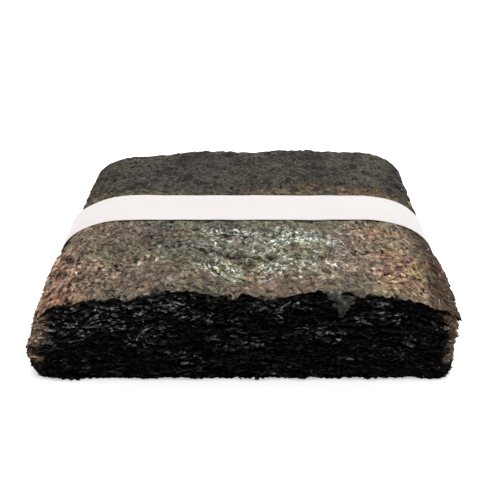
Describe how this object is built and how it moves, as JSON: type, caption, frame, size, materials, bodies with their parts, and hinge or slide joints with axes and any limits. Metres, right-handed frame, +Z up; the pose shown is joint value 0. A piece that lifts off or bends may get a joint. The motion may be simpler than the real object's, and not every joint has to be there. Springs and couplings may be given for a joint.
{
  "type": "banded bundle of nori sheets",
  "caption": "Thick flat pile of dried nori sheets with ragged edges and drooping sides, held by a plain white paper band round its middle.",
  "frame": {"origin": "on the surface that the bundle lies on, under the middle of its bounding box", "axes": "+X to the right along the paper band, +Y along the length of the sheets away from the front, +Z up"},
  "size_m": [0.1991, 0.2132, 0.0442],
  "materials": {
    "nori": "dry pressed flakes with a slight gloss, mottled olive, brown and purple-grey, almost black at the edges",
    "band_paper": "plain matt white paper"
  },
  "bodies": {
    "root": {"sheet_01": "nori", "sheet_02": "nori", "sheet_03": "nori", "sheet_04": "nori", "sheet_05": "nori", "sheet_06": "nori", "sheet_07": "nori", "sheet_08": "nori", "sheet_09": "nori", "sheet_10": "nori", "sheet_11": "nori", "sheet_12": "nori", "sheet_13": "nori", "sheet_14": "nori", "sheet_15": "nori", "sheet_16": "nori", "sheet_17": "nori", "sheet_18": "nori", "sheet_19": "nori", "sheet_20": "nori", "sheet_21": "nori", "sheet_22": "nori", "sheet_23": "nori", "sheet_24": "nori", "sheet_25": "nori", "sheet_26": "nori", "sheet_27": "nori", "sheet_28": "nori", "sheet_29": "nori", "sheet_30": "nori", "sheet_31": "nori", "sheet_32": "nori", "sheet_33": "nori", "sheet_34": "nori", "sheet_35": "nori", "sheet_36": "nori", "sheet_37": "nori", "sheet_38": "nori", "sheet_39": "nori", "sheet_40": "nori", "sheet_41": "nori", "sheet_42": "nori", "sheet_43": "nori", "sheet_44": "nori", "sheet_45": "nori", "sheet_46": "nori", "sheet_47": "nori", "sheet_48": "nori", "sheet_49": "nori", "sheet_50": "nori", "paper_band": "band_paper"}
  },
  "joints": []
}
